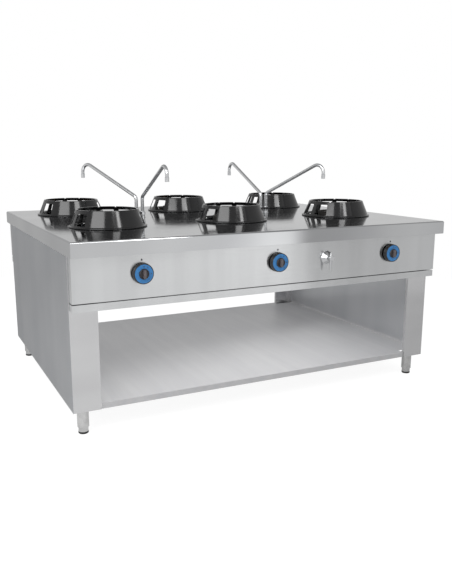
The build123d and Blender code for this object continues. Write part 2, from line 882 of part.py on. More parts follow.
water_inlet = tee_bottom - water_socket_length
water_step = water_inlet + water_socket_depth
tee_bore = water_pipe_r - 1
tee = block(
    valve_x - tee_half, valve_x + tee_half, supply_y - tee_half, supply_y + tee_half,
    tee_bottom, supply_height + tee_half,
)
tee += upright(water_socket_r + 4.2, valve_x, supply_y, water_inlet, tee_bottom)
tee -= upright(water_socket_r, valve_x, supply_y, water_inlet - 1, water_step)
tee -= upright(tee_bore, valve_x, supply_y, water_inlet, supply_height)
tee -= level(tee_bore, valve_x, supply_height, supply_y - tee_half - 1, supply_y)
side_bore = Rot(0, 90, 0) * Cylinder(tee_bore, tee_half + 2)
tee -= Pos(valve_x - tee_half / 2, supply_y, supply_height) * side_bore
save("water_pipes", *water, tee)

# ---- spout bases through the worktop, each with a clamping nut below ----
spout_nut_top = top_height + spout_nut_rise
spout_socket_bottom = top_height + spout_socket_rise
base_flange_r = spout_half_gap - 1
base_r = spout_r + 3.5
nut_across_flats = 2 * spout_r + 8


def spout_base(x):
    collar_top = spout_nut_top - 13
    base = Pos(x, spout_y, 0) * turned([
        (0, shank_bottom), (shank_r, shank_bottom), (shank_r, top_height),
        (base_flange_r, top_height), (base_flange_r, top_height + 3), (base_r, top_height + 4),
        (base_r, collar_top), (0, collar_top),
    ])
    base += hexagon(nut_across_flats, x, spout_y, collar_top - 1, spout_nut_top)
    base -= upright(spout_r + running_fit, x, spout_y, spout_socket_bottom, spout_nut_top + 1)
    pipe_bore = water_pipe_r - water_pipe_wall
    base -= upright(pipe_bore, x, spout_y, shank_bottom - 1, spout_socket_bottom + 1)
    clamp = hexagon(nut_across_flats, x, spout_y, top_underside - 8, top_underside)
    clamp -= upright(shank_r, x, spout_y, top_underside - 9, top_underside + 1)
    return Compound(children=[base, clamp])


save("spout_bases", *[spout_base(x) for x in spout_bases.values()])


# ---- swivel spouts ----
def spout():
    peak = top_height + spout_peak_rise
    path = FilletPolyline(
        (0, 0, spout_socket_bottom + 2), (0, 0, top_height + spout_bend_rise),
        (spout_reach, 0, peak), (spout_reach, 0, peak - spout_end_drop),
        radius=(spout_low_bend, spout_high_bend),
    )
    section = Plane(path @ 0, z_dir=path % 0) * (Circle(spout_r) - Circle(spout_r - spout_wall))
    tube = sweep(section, path=path)
    collar = upright(spout_r + 2.5, 0, 0, spout_nut_top + 0.4, spout_nut_top + 4)
    return tube + (collar - upright(spout_r - 0.5, 0, 0, spout_nut_top, spout_nut_top + 5))


spout_shape = spout()
for name, angle in spout_angles.items():
    save("spout_" + name, Pos(spout_bases[name], spout_y, 0) * Rot(0, 0, angle) * spout_shape)


# ---- wok rings: windowed cones that lie loose on the worktop, closed toward the front ----
def sector(angle, width, r0, r1, z0, z1):
    """A wedge about Z between two radii; the angle is measured from the front."""
    half = radians(width / 2)
    middle = radians(angle - 90)
    corners = [
        (r * cos(middle + turn), r * sin(middle + turn))
        for r, turn in ((r0, -half), (r1, -half), (r1, half), (r0, half))
    ]
    return Pos(0, 0, z0) * extrude(make_face(Polyline(*corners, close=True)), z1 - z0)


def wok_ring():
    z0 = top_height
    z1 = top_height + ring_height
    wall_foot = ring_base_r - ring_lip
    foot_inner = ring_base_r - ring_foot
    bead_top = z0 + ring_bead
    flange_under = z1 - ring_wall
    ring = turned([
        (foot_inner, z0), (ring_base_r, z0), (ring_base_r, bead_top), (wall_foot, bead_top + 3),
        (ring_top_r + 1, z1 - 2), (ring_top_r, z1), (ring_top_r - ring_rim, z1),
        (ring_top_r - ring_rim, flange_under), (ring_top_r + 1 - ring_wall, flange_under),
        (wall_foot - ring_wall, bead_top + 3), (foot_inner, bead_top - 1),
    ])
    cuts = []
    for step in range(windows_per_side):
        middle = 180 - window_pitch * (step + 0.5)
        for sign in (-1, 1):
            cuts.append(sector(
                sign * middle, window_width, ring_top_r - 36, ring_base_r + 34,
                z0 + window_bottom, z0 + window_top,
            ))
    notch = block(
        -notch_width / 2, notch_width / 2, -ring_top_r - 5, 20 - ring_top_r, flange_under, z1 + 1
    )
    for step in range(-windows_per_side, windows_per_side + 1):
        cuts.append(Rot(0, 0, 180 - window_pitch * step) * notch)
    return ring - cuts


ring_shape = wok_ring()
for side, hand in places:
    save("wok_ring_" + side + "_" + hand, Pos(columns[hand], rows[side], 0) * ring_shape)
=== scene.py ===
import json
from math import atan2, cos, degrees, hypot, pi, radians, sin, tan

import bmesh
import bpy
from mathutils import Matrix, Vector

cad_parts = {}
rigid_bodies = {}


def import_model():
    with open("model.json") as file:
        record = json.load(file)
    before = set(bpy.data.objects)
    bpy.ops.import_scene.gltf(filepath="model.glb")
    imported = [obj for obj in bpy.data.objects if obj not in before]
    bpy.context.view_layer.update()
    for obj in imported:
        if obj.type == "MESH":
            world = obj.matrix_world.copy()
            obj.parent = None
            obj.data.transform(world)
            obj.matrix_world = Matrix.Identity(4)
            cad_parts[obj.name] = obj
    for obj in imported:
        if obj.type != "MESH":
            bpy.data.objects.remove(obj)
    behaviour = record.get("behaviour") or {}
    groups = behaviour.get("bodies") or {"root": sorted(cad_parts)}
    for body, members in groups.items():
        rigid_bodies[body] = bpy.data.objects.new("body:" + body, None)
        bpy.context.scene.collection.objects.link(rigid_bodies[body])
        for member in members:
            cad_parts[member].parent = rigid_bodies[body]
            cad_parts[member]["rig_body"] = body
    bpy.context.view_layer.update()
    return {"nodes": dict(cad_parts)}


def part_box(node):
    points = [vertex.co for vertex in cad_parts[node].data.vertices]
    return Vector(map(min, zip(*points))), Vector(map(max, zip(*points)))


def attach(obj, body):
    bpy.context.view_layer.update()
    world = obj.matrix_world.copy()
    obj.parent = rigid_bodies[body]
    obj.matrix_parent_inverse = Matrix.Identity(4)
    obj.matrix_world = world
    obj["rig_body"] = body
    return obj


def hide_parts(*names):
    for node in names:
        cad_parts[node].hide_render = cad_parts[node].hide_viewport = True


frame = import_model()

MM = 0.001
COLUMNS = ("left", "middle", "right")
ROWS = ("front", "back")
PLACES = [(row, column) for row in ROWS for column in COLUMNS]
# The cook's side of each row: -1 is the front, +1 the back.
OUTWARD = {"front": -1, "back": 1}

# ---------------------------------------------------------------- places, read from the frame
ring_low, ring_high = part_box("wok_ring_front_middle")
RING_R = (ring_high.x - ring_low.x) / 2 / MM
RING_HEIGHT = (ring_high.z - ring_low.z) / MM
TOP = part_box("worktop")[1].z
knob_low, knob_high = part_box("knob_front_middle")
KNOB_HEIGHT = (knob_low.z + knob_high.z) / 2
PANEL_Y = -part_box("control_panel_front")[0].y


def middle_of(node):
    low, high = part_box(node)
    return (low + high) / 2


# ---------------------------------------------------------------- small tools
def linear(hex_colour):
    """An sRGB hex colour as linear red, green, blue, alpha."""
    values = [int(hex_colour[i : i + 2], 16) / 255 for i in (1, 3, 5)]
    return [v / 12.92 if v <= 0.04045 else ((v + 0.055) / 1.055) ** 2.4 for v in values] + [1.0]


def per_mm(size):
    """A texture scale that gives features of about this many millimetres."""
    return 1 / (size * MM)


def add(tree, kind, inputs=None, **settings):
    """Adds a node with its settings, then sets or links its inputs."""
    made = tree.nodes.new(kind)
    for name, value in settings.items():
        setattr(made, name, value)
    for key, value in (inputs or {}).items():
        if isinstance(value, bpy.types.NodeSocket):
            tree.links.new(value, made.inputs[key])
        else:
            made.inputs[key].default_value = value
    return made


def new_material(name, **shader):
    """A material with one Principled shader, whose even values are set on its own sockets."""
    material = bpy.data.materials.new(name)
    material.use_nodes = True
    tree = material.node_tree
    tree.nodes.clear()
    surface = add(tree, "ShaderNodeBsdfPrincipled", shader)
    add(tree, "ShaderNodeOutputMaterial", {"Surface": surface.outputs[0]})
    return material, tree, surface


def noise(tree, size, stretch=(1, 1, 1), detail=3.0, roughness=0.5, shift=0.0):
    """Noise in object space with features of the given size in mm, stretched along each axis."""
    place = add(tree, "ShaderNodeTexCoord")
    scale = [per_mm(size * factor) for factor in stretch]
    turned = add(tree, "ShaderNodeMapping", {
        "Vector": place.outputs["Object"], "Location": (shift, shift, shift), "Scale": scale,
    })
    made = add(tree, "ShaderNodeTexNoise", {
        "Vector": turned.outputs[0], "Scale": 1.0, "Detail": detail, "Roughness": roughness,
    })
    return made.outputs["Fac"]


def spread(tree, value, low, high, start=0.3, end=0.7):
    """Maps the middle of a noise to the range low to high."""
    return add(tree, "ShaderNodeMapRange", {
        "Value": value, "From Min": start, "From Max": end, "To Min": low, "To Max": high,
    }).outputs[0]


def tones(tree, value, stops):
    """A colour ramp of (position, hex colour)."""
    ramp = add(tree, "ShaderNodeValToRGB", {"Fac": value})
    elements = ramp.color_ramp.elements
    while len(elements) < len(stops):
        elements.new(0.5)
    for element, (position, colour) in zip(elements, stops):
        element.position = position
        element.color = linear(colour)
    return ramp.outputs["Color"]


def relief(tree, surface, height, depth, strength=1.0):
    """Raises the surface by up to depth millimetres."""
    bump = add(tree, "ShaderNodeBump", {
        "Height": height, "Distance": depth * MM, "Strength": strength,
    })
    tree.links.new(bump.outputs[0], surface.inputs["Normal"])


# ---------------------------------------------------------------- materials
# Grain is long on one axis and fine on the others.
GRAIN_LENGTH = 60.0
LONG = {
    "x": (GRAIN_LENGTH, 1, 1), "y": (1, GRAIN_LENGTH, 1), "z": (1, 1, GRAIN_LENGTH),
}
# A band is wide on two axes and changes along the third.
BAND = {"x": (1, 40, 40), "y": (40, 1, 40), "z": (40, 40, 1)}
AXIS = {"x": (1, 0, 0), "y": (0, 1, 0), "z": (0, 0, 1)}


def brushed_stainless(name, light, dark, grain, across, roughness, band, band_size=90.0,
                      metallic=1.0, edge=1.0, vary=0.12):
    """Stainless sheet brushed along one axis: what it mirrors is drawn out across the grain,
    and soft bands of tone lie where the belt pressed harder."""
    material, tree, surface = new_material(name, **{
        "Metallic": metallic, "Anisotropic": 0.9, "Specular Tint": (edge, edge, edge, 1.0),
    })
    drawn = add(tree, "ShaderNodeCombineXYZ", dict(zip("XYZ", AXIS[across])))
    tree.links.new(drawn.outputs[0], surface.inputs["Tangent"])
    # The real grain is about 0.1 mm wide; it is drawn at 2.5 mm so that it shows.
    fine = noise(tree, 2.5, LONG[grain], detail=2.0)
    bands = noise(tree, band_size, BAND[band], detail=2.0, roughness=0.6)
    cloud = noise(tree, 260.0, detail=2.0, shift=3.0)
    both = add(tree, "ShaderNodeMix", {
        "Factor": 0.35, "A": bands, "B": cloud,
    }, data_type="FLOAT").outputs["Result"]
    tree.links.new(tones(tree, both, [(0.32, dark), (0.68, light)]), surface.inputs["Base Color"])
    tree.links.new(
        spread(tree, fine, roughness * (1 - vary), roughness * (1 + vary)),
        surface.inputs["Roughness"],
    )
    relief(tree, surface, fine, vary * 0.05, 0.3)
    return material


def polished_stainless():
    """Worktop sheet, ground along its length and buffed: a near mirror, drawn out across the
    grain, with wipe marks."""
    material, tree, surface = new_material("stainless_buffed_sheet", Metallic=1.0, Anisotropic=0.75)
    drawn = add(tree, "ShaderNodeCombineXYZ", {"Y": 1.0, "Z": 1.0})
    tree.links.new(drawn.outputs[0], surface.inputs["Tangent"])
    fine = noise(tree, 3.0, LONG["x"], detail=2.0)
    wipes = noise(tree, 120.0, (2.5, 1, 1), detail=4.0, roughness=0.65, shift=7.0)
    colour = tones(tree, noise(tree, 420.0, detail=1.0), [(0.3, "#B4B5B7"), (0.7, "#C2C3C4")])
    tree.links.new(colour, surface.inputs["Base Color"])
    haze = add(tree, "ShaderNodeMath", {
        0: spread(tree, wipes, 0.05, 0.085), 1: spread(tree, fine, 0.0, 0.015),
    }, operation="ADD")
    tree.links.new(haze.outputs[0], surface.inputs["Roughness"])
    relief(tree, surface, fine, 0.004, 0.3)
    return material


def mill_stainless():
    """Drawn tube and plate as it leaves the mill: dull, even, with faint draw lines."""
    material, tree, surface = new_material("stainless_mill_tube", Metallic=1.0)
    lines = noise(tree, 2.0, LONG["z"], detail=2.0)
    colour = tones(tree, noise(tree, 30.0, detail=3.0), [(0.3, "#B0B0B0"), (0.7, "#C6C6C6")])
    tree.links.new(colour, surface.inputs["Base Color"])
    tree.links.new(spread(tree, lines, 0.22, 0.34), surface.inputs["Roughness"])
    relief(tree, surface, lines, 0.01, 0.4)
    return material


def polished_tube():
    """Spout tube, buffed after bending: bright and smooth, a little drawn by the wheel."""
    material, tree, surface = new_material("stainless_buffed_tube", Metallic=1.0)
    cloud = noise(tree, 40.0, detail=1.0)
    colour = tones(tree, cloud, [(0.3, "#C4C5C7"), (0.7, "#D2D3D4")])
    tree.links.new(colour, surface.inputs["Base Color"])
    tree.links.new(spread(tree, cloud, 0.22, 0.28), surface.inputs["Roughness"])
    relief(tree, surface, cloud, 0.005, 0.2)
    return material


def chrome_plate(name, dark, light, low, high):
    """Chrome over brass: a mirror as clear as the brass under it was polished, a little hazed by
    water marks."""
    material, tree, surface = new_material(name, Metallic=1.0)
    marks = noise(tree, 6.0, detail=4.0, roughness=0.7)
    colour = tones(tree, noise(tree, 40.0), [(0.3, dark), (0.7, light)])
    tree.links.new(colour, surface.inputs["Base Color"])
    tree.links.new(spread(tree, marks, low, high), surface.inputs["Roughness"])
    relief(tree, surface, noise(tree, 14.0), 0.02, 0.3)
    return material


def black_enamel():
    """Vitreous enamel fired on a pressed ring: deep gloss with a slight wave, and dust in the
    glaze."""
    material, tree, surface = new_material("vitreous_enamel_black", **{"IOR": 1.5})
    wave = noise(tree, 30.0, detail=2.0)
    dust = noise(tree, 1.6, detail=2.0)
    colour = tones(tree, noise(tree, 55.0, detail=3.0), [(0.3, "#0C0C0D"), (0.7, "#141415")])
    tree.links.new(colour, surface.inputs["Base Color"])
    gloss = add(tree, "ShaderNodeMath", {
        0: spread(tree, wave, 0.08, 0.13), 1: spread(tree, dust, 0.0, 0.03),
    }, operation="ADD")
    tree.links.new(gloss.outputs[0], surface.inputs["Roughness"])
    relief(tree, surface, wave, 0.03, 0.5)
    return material


def cast_iron():
    """Sand-cast iron, heat-darkened: a pebbled dull black with rust-brown warmth in the hollows."""
    material, tree, surface = new_material("cast_iron_sand_cast", Metallic=0.55)
    sand = noise(tree, 2.2, detail=5.0, roughness=0.65)
    colour = tones(tree, noise(tree, 26.0, detail=5.0, roughness=0.65), [
        (0.32, "#2B2724"), (0.5, "#383736"), (0.7, "#4A4744"),
    ])
    tree.links.new(colour, surface.inputs["Base Color"])
    tree.links.new(spread(tree, sand, 0.45, 0.7), surface.inputs["Roughness"])
    relief(tree, surface, sand, 0.25, 0.7)
    return material


def turned_brass():
    """Free-cutting brass, turned and pressed: warm yellow with fine tool rings and a light
    tarnish."""
    material, tree, surface = new_material("brass_turned", Metallic=1.0)
    tarnish = noise(tree, 14.0, detail=4.0, roughness=0.6)
    colour = tones(tree, tarnish, [(0.3, "#A8863F"), (0.5, "#C8A557"), (0.7, "#DCBF74")])
    tree.links.new(colour, surface.inputs["Base Color"])
    rings = noise(tree, 0.8, (40, 1, 40), detail=1.0)
    tree.links.new(spread(tree, tarnish, 0.36, 0.2), surface.inputs["Roughness"])
    relief(tree, surface, rings, 0.02, 0.5)
    return material


def moulded_plastic(name, dark, light, low, high, grit, depth):
    """Injection-moulded plastic with a spark-eroded grain."""
    material, tree, surface = new_material(name, **{"IOR": 1.5})
    grain = noise(tree, grit, detail=2.0)
    colour = tones(tree, noise(tree, 12.0, detail=3.0), [(0.3, dark), (0.7, light)])
    tree.links.new(colour, surface.inputs["Base Color"])
    tree.links.new(spread(tree, grain, low, high), surface.inputs["Roughness"])
    relief(tree, surface, grain, depth, 0.5)
    return material


steel_top = polished_stainless()
steel_panel = brushed_stainless(
    "stainless_brushed_panel", "#CCCDCE", "#C2C3C4", grain="x", across="z", roughness=0.2,
    band="x",
)
# Painted shade: the side sheet is a darker copy of the brushed steel, with its edge reflection cut
# to 0.34 and less metal, so that the side panels render as if in shade.
steel_side_painted_shade = brushed_stainless(
    "stainless_brushed_side_painted_shade", "#BCBDBF", "#AEB0B3", grain="z", across="y", roughness=0.28,
    band="y", band_size=240.0, metallic=0.78, edge=0.34, vary=0.02,
)
steel_post = brushed_stainless(
    "stainless_brushed_post", "#CACACB", "#BEBEBF", grain="z", across="x", roughness=0.24,
    band="z", band_size=160.0,
)
steel_shelf = brushed_stainless(
    "stainless_brushed_shelf", "#BEBEBF", "#B6B6B8", grain="y", across="x", roughness=0.42,
    band="x", band_size=70.0, metallic=0.8,
)
steel_tube = mill_stainless()
chrome = chrome_plate("chrome_plated_brass", "#D0D1D3", "#DCDDDE", 0.05, 0.16)
satin_chrome = chrome_plate("chrome_plated_brass_satin", "#B6B7B9", "#C4C5C6", 0.3, 0.4)
steel_spout = polished_tube()
enamel = black_enamel()
iron = cast_iron()
brass = turned_brass()
knob_black = moulded_plastic(
    "phenolic_moulded_black", "#1C1C1D", "#262628", 0.34, 0.48, grit=0.9, depth=0.03
)
knob_blue = moulded_plastic(
    "abs_moulded_blue", "#1F5C90", "#286A9F", 0.3, 0.4, grit=0.8, depth=0.02
)
# Painted shade: the grip round the bar is a darker copy of the knob's grey moulding.
knob_grip_painted_shade = moulded_plastic(
    "phenolic_moulded_grip_painted_shade", "#242123", "#302C2E", 0.36, 0.5, grit=0.9, depth=0.03
)
# Painted highlight: the raised bar is a lighter copy of the same grey moulding, standing for the
# light on its face against the shaded grip.
knob_bar_painted_highlight = moulded_plastic(
    "phenolic_moulded_bar_painted_highlight", "#454042", "#524D4F", 0.34, 0.46, grit=0.9, depth=0.03
)
pad_rubber = moulded_plastic(
    "rubber_moulded_black", "#141414", "#1E1E1E", 0.6, 0.78, grit=1.2, depth=0.06
)
print_black = moulded_plastic(
    "screen_print_black", "#232329", "#2E2E34", 0.5, 0.62, grit=0.6, depth=0.01
)

NODE_MATERIALS = {
    "worktop": steel_top, "burner_wells": steel_top, "top_frame": steel_tube,
    "control_panel_front": steel_panel, "control_panel_back": steel_panel,
    "panel_rails": steel_panel, "side_panel_left": steel_side_painted_shade, "side_panel_right": steel_side_painted_shade,
    "corner_posts": steel_post, "bottom_shelf": steel_shelf, "foot_sockets": steel_tube,
    "burner_heads": iron, "pilot_burners": brass, "mixer_tubes": iron, "injectors": brass,
    "gas_taps": brass, "gas_pipes": steel_tube, "tap_screws": steel_tube, "water_valves": brass,
    "valve_rosettes": chrome, "water_pipes": steel_tube, "spout_bases": chrome,
    "valve_lever": chrome, "tap_spindle": brass, "knob_ring": knob_blue, "knob": knob_black,
    "wok_ring": enamel, "spout": chrome, "foot_insert": steel_tube, "foot_pad": pad_rubber,
}


def material_for(node):
    """The material of a node, by its whole name or by the name that its copies share."""
    if node in NODE_MATERIALS:
        return NODE_MATERIALS[node]
    families = [name for name in NODE_MATERIALS if node.startswith(name + "_")]
    return NODE_MATERIALS[max(families, key=len)]


for node_name, node_object in frame["nodes"].items():
    node_object.data.materials.clear()
    node_object.data.materials.append(material_for(node_name))


# ---------------------------------------------------------------- mesh tools
# Edges sharper than this many degrees stay sharp.
SMOOTH_ANGLE = 32.0
# Points closer than this many metres are one.
MERGE = 1e-6


def mesh_object(name, bm, material, smooth=SMOOTH_ANGLE):
    """An object at the origin from a finished bmesh, smooth except across sharp edges."""
    mesh = bpy.data.meshes.new(name)
    bm.to_mesh(mesh)
    bm.free()
    mesh.materials.append(material)
    mesh.shade_smooth()
    mesh.set_sharp_from_angle(angle=radians(smooth))
    made = bpy.data.objects.new(name, mesh)
    bpy.context.scene.collection.objects.link(made)
    return made


def turned(bm, profile, segments=72, matrix=None):
    """Adds a solid of revolution about Z from an open (radius, height) profile in mm.
    Points on the axis become poles."""
    rings = []
    for r, z in profile:
        if r < 1e-6:
            rings.append([bm.verts.new((0, 0, z * MM))])
            continue
        ring = []
        for step in range(segments):
            angle = 2 * pi * step / segments
            ring.append(bm.verts.new((r * cos(angle) * MM, r * sin(angle) * MM, z * MM)))
        rings.append(ring)
    for lower, upper in zip(rings, rings[1:]):
        for step in range(segments):
            after = (step + 1) % segments
            corners = [lower[step % len(lower)], lower[after % len(lower)]]
            corners += [upper[after % len(upper)], upper[step % len(upper)]]
            corners = list(dict.fromkeys(corners))
            if len(corners) > 2:
                bm.faces.new(corners)
    verts = [vert for ring in rings for vert in ring]
    if matrix is not None:
        bmesh.ops.transform(bm, matrix=matrix, verts=verts)
    return verts


def rounded(points, radius, steps=3):
    """The outline with each inner corner rounded by the given radius, in mm."""
    made = [points[0]]
    for before, corner, after in zip(points, points[1:], points[2:]):
        legs = []
        for other in (before, after):
            dx, dy = other[0] - corner[0], other[1] - corner[1]
            length = hypot(dx, dy)
            cut = min(radius, length * 0.45)
            legs.append((corner[0] + dx / length * cut, corner[1] + dy / length * cut))
        for step in range(steps + 1):
            t = step / steps
            blend = [(1 - t) ** 2, 2 * t * (1 - t), t**2]
            made.append(tuple(
                blend[0] * legs[0][i] + blend[1] * corner[i] + blend[2] * legs[1][i]
                for i in (0, 1)
            ))
    return made + [points[-1]]


def outward(bm):
    bmesh.ops.remove_doubles(bm, verts=bm.verts, dist=MERGE)
    bmesh.ops.recalc_face_normals(bm, faces=bm.faces)


def applied(made):
    """The object with its modifiers worked into its mesh."""
    graph = bpy.context.evaluated_depsgraph_get()
    mesh = bpy.data.meshes.new_from_object(made.evaluated_get(graph))
    made.modifiers.clear()
    made.data = mesh
    return made


def softened(made, width, segments=2, angle=40.0):
    """Rounds the sharp edges by width millimetres."""
    bevel = made.modifiers.new("edges", "BEVEL")
    bevel.width = width * MM
    bevel.segments = segments
    bevel.limit_method = "ANGLE"
    bevel.angle_limit = radians(angle)
    return applied(made)


def settle(made, body, slot, *replaced):
    """Hangs a finished piece on its body, in place of the nodes it stands for."""
    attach(made, body)
    if replaced:
        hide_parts(*replaced)


def toward_cook(row, x, z, y=0.0):
    """Local +Z turned to point out of a panel, at (x, z) on that row's side."""
    out = OUTWARD[row]
    tilt = Matrix.Rotation(radians(90 if out < 0 else -90), 4, "X")
    upright = Matrix.Rotation(0 if out < 0 else pi, 4, "Z")
    return Matrix.Translation((x, out * PANEL_Y + y * out, z)) @ tilt @ upright


# ---------------------------------------------------------------- wok rings
WALL = 4.0
BEAD_HEIGHT = 7.0
WALL_FOOT_R = RING_R - 9.5
WALL_FOOT_Z = 9.0
RIM_R = RING_R - 40.0
RIM_WIDTH = 9.0
FOOT_INNER_R = RING_R - 20.0
# Windows and the wall between them: heights and corners in mm, pitch and width in degrees.
WINDOW_LOW = 11.0
WINDOW_HIGH = 66.0
WINDOW_PITCH = 33.0
WINDOW_WIDTH = 24.0
WINDOW_CORNER = 3.0
WINDOW_HALF = WINDOW_WIDTH / 2
CORNER_TURN = degrees(WINDOW_CORNER / RING_R)
# Where the section is repeated across a window, in degrees from its middle.
WINDOW_OFFSETS = (
    -WINDOW_HALF, -WINDOW_HALF + CORNER_TURN, -5.5, 0, 5.5, WINDOW_HALF - CORNER_TURN, WINDOW_HALF,
)
NOTCH_HALF = degrees(4.0 / RIM_R)


def wall_radius(z):
    """The cone's outer radius at a height."""
    share = (z - WALL_FOOT_Z) / (RING_HEIGHT - 2 - WALL_FOOT_Z)
    return WALL_FOOT_R + (RIM_R + 1 - WALL_FOOT_R) * share


def ring_section():
    """The closed section as (radius, height), with the places where windows and notches cut it."""
    levels = [WINDOW_LOW, WINDOW_LOW + WINDOW_CORNER, (WINDOW_LOW + WINDOW_HIGH) / 2,
              WINDOW_HIGH - WINDOW_CORNER, WINDOW_HIGH]
    flange_under = RING_HEIGHT - WALL
    foot = rounded([
        (FOOT_INNER_R, 2.5), (FOOT_INNER_R, 0.0), (RING_R - 2.5, 0.0), (RING_R, 2.5), (RING_R, 5.5),
        (RING_R - 2.0, BEAD_HEIGHT), (WALL_FOOT_R + 1.5, BEAD_HEIGHT + 0.4),
        (WALL_FOOT_R, WALL_FOOT_Z), (wall_radius(10), 10.0),
    ], 1.2, 2)
    outer = [(wall_radius(z), z) for z in levels]
    shoulder = [(wall_radius(flange_under), flange_under)]
    rim = rounded([
        shoulder[0], (wall_radius(flange_under + 0.4), flange_under + 0.4),
        (RIM_R, RING_HEIGHT), (RIM_R - RIM_WIDTH, RING_HEIGHT),
        (RIM_R - RIM_WIDTH, flange_under), (wall_radius(flange_under) - WALL - 0.3, flange_under),
    ], 1.2, 2)[1:-1]
    inner_shoulder = [(wall_radius(flange_under) - WALL, flange_under)]
    inner = [(wall_radius(z) - WALL, z) for z in reversed(levels)]
    tail = [(WALL_FOOT_R - WALL, WALL_FOOT_Z), (FOOT_INNER_R, 5.0)]
    section = foot + outer + shoulder + rim + inner_shoulder + inner + tail
    first_outer = len(foot)
    notch_start = first_outer + len(levels)
    notch_end = notch_start + len(rim) + 1
    first_inner = notch_end + 1
    return section, len(levels), first_outer, first_inner, notch_start, notch_end


def ring_angles():
    """Where the section is repeated round the ring, with the window and notch edges among them.
    Angles are in degrees from the front, and windows go round the back from side to side."""
    windows = [sign * (180 - WINDOW_PITCH * (step + 0.5)) for step in range(4) for sign in (-1, 1)]
    notches = [180.0] + [
        sign * (180 - WINDOW_PITCH * step) for step in range(1, 5) for sign in (-1, 1)
    ]
    angles = set()
    for middle in windows:
        for offset in WINDOW_OFFSETS:
            angles.add(round((middle + offset) % 360, 4))
    for middle in notches:
        for offset in (-NOTCH_HALF, 0, NOTCH_HALF):
            angles.add(round((middle + offset) % 360, 4))
    solid_half = 180 - WINDOW_PITCH * 4 - NOTCH_HALF
    steps = 30
    for step in range(steps + 1):
        angles.add(round((-solid_half + 2 * solid_half * step / steps) % 360, 4))
    return sorted(angles), windows, notches


def wok_ring_mesh():
    section, level_count, first_outer, first_inner, notch_start, notch_end = ring_section()
    angles, windows, notches = ring_angles()
    count, size = len(angles), len(section)
    bm = bmesh.new()
    grid = []
    for angle in angles:
        turn = radians(angle - 90)
        grid.append([bm.verts.new((r * cos(turn) * MM, r * sin(turn) * MM, z * MM))
                     for r, z in section])

    def index_of(angle):
        return angles.index(round(angle % 360, 4))

    def between(step, middle, half):
        centre = (angles[step] + (angles[(step + 1) % count] - angles[step]) % 360 / 2) % 360
        return abs((centre - middle + 180) % 360 - 180) < half

    for step in range(count):
        here, there = grid[step], grid[(step + 1) % count]
        window = next((m for m in windows if between(step, m, WINDOW_HALF)), None)
        notch = next((m for m in notches if between(step, m, NOTCH_HALF)), None)
        for j in range(size):
            k = (j + 1) % size
            on_outer = first_outer <= j < first_outer + level_count - 1
            on_inner = first_inner <= j < first_inner + level_count - 1
            if window is not None and (on_outer or on_inner):
                continue
            if notch is not None and notch_start <= j < notch_end:
                continue
            bm.faces.new((here[j], there[j], there[k], here[k]))
        if notch is not None:
            bm.faces.new((here[notch_start], there[notch_start], there[notch_end], here[notch_end]))

    last = level_count - 1
    for middle in windows:
        columns = [index_of(middle + offset) for offset in WINDOW_OFFSETS]
        left, left_in, right_in, right = columns[0], columns[1], columns[-2], columns[-1]
        # Each corner keeps a small triangle, so that the window's corners are cut, not square.
        triangles = [
            ((left, 0), (left_in, 0), (left, 1)), ((right_in, 0), (right, 0), (right, 1)),
            ((left, last - 1), (left_in, last), (left, last)),
            ((right_in, last), (right, last - 1), (right, last)),
        ]
        for corners in triangles:
            bm.faces.new([grid[i][first_outer + level] for i, level in corners])
            bm.faces.new([grid[i][first_inner + last - level] for i, level in corners])
        loop = [(i, 0) for i in columns[1:-1]]
        loop += [(right, level) for level in range(1, last)]
        loop += [(i, last) for i in reversed(columns[1:-1])]
        loop += [(left, level) for level in range(last - 1, 0, -1)]
        for (i, a), (k, b) in zip(loop, loop[1:] + loop[:1]):
            bm.faces.new((
                grid[i][first_outer + a], grid[k][first_outer + b],
                grid[k][first_inner + last - b], grid[i][first_inner + last - a],
            ))
    for middle in notches:
        for offset in (-NOTCH_HALF, NOTCH_HALF):
            column = grid[index_of(middle + offset)]
            bm.faces.new(column[notch_start : notch_end + 1])
    outward(bm)
    return bm


ring_master = softened(mesh_object("wok_ring_master", wok_ring_mesh(), enamel), 0.9)
for row, column in PLACES:
    node = f"wok_ring_{row}_{column}"
    centre = middle_of(node)
    ring = bpy.data.objects.new(f"enamelled_ring_{row}_{column}", ring_master.data.copy())
    ring.data.transform(Matrix.Translation((centre.x, centre.y, TOP)))
    bpy.context.scene.collection.objects.link(ring)
    settle(ring, f"ring_{row}_{column}", "enamel_black", node)
bpy.data.objects.remove(ring_master)

# ---------------------------------------------------------------- knobs
# Distances are in mm out of the panel. The back and the width are the frame's own; the face and
# the bar are lower than the frame's, which looks closer to the photograph. The back has to stay
# more than the knob's push of 4 mm out of the panel, and the bar's tip beyond the spindle's end at
# 36 mm when the knob is pushed in.
KNOB_R = (knob_high.x - knob_low.x) / 2 / MM
KNOB_SIDES = 96
KNOB_BACK = 5.0
SKIRT_MOUTH_R = 41
SKIRT_EDGE = 8
SKIRT_HOLLOW = 21.5
SKIRT_HOLLOW_R = 37
KNOB_FACE = 26.0
INLAY_OUT = 26.7
FACE_R = 43.2
INLAY_R = 39.6
INLAY_SEAT = 24.0
INLAY_BORE_R = 22.0
INLAY_GAP = 0.2
GRIP_SEAT = 23.3
GRIP_SEAT_R = 21.8
GRIP_R = 21.5
GRIP_FLARE = 0.8
GRIP_OUT = 32.5
DISH_DEPTH = 3
BAR_FOOT = 28.0
BAR_OUT = 42.0
# The bar's eased edge, as the distance back from its end and the inset there.
BAR_EASE = ((1.4, 0.0), (0.4, 0.5), (0.0, 1.5))


